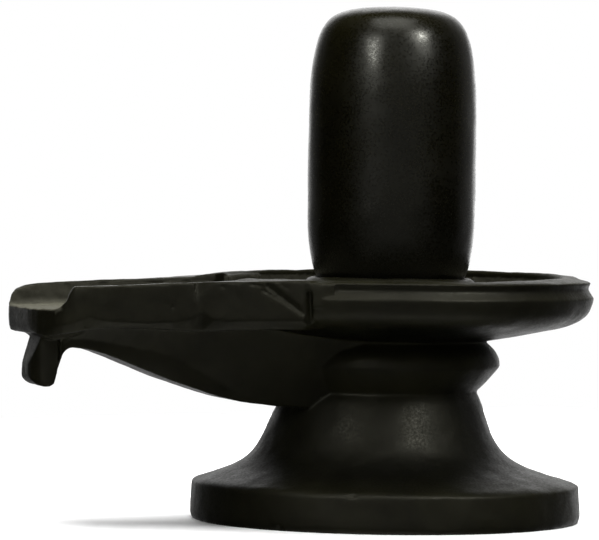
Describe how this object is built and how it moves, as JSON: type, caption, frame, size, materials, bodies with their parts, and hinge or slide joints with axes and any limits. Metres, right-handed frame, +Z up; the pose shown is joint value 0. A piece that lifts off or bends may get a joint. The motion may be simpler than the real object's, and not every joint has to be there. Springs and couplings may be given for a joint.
{
  "type": "shiva lingam stone on a yoni pedestal",
  "caption": "Carved dark stone lingam: a polished round shaft set in a shallow basin with a long open spout, on a waisted foot.",
  "frame": {"origin": "centre of the foot's flat underside", "axes": "+Z up through the shaft; the spout points to -X; +Y is the object's left as seen from behind the spout's end looking to +X"},
  "size_m": [0.1695, 0.1192, 0.15],
  "materials": {
    "polished_stone": "smooth with a low shine, as if polished or oiled, fine grain showing",
    "carved_stone": "rubbed smooth outside, tool-marked inside the basin and the channel"
  },
  "bodies": {
    "root": {"lingam": "polished_stone", "yoni_pedestal": "carved_stone"}
  },
  "joints": []
}
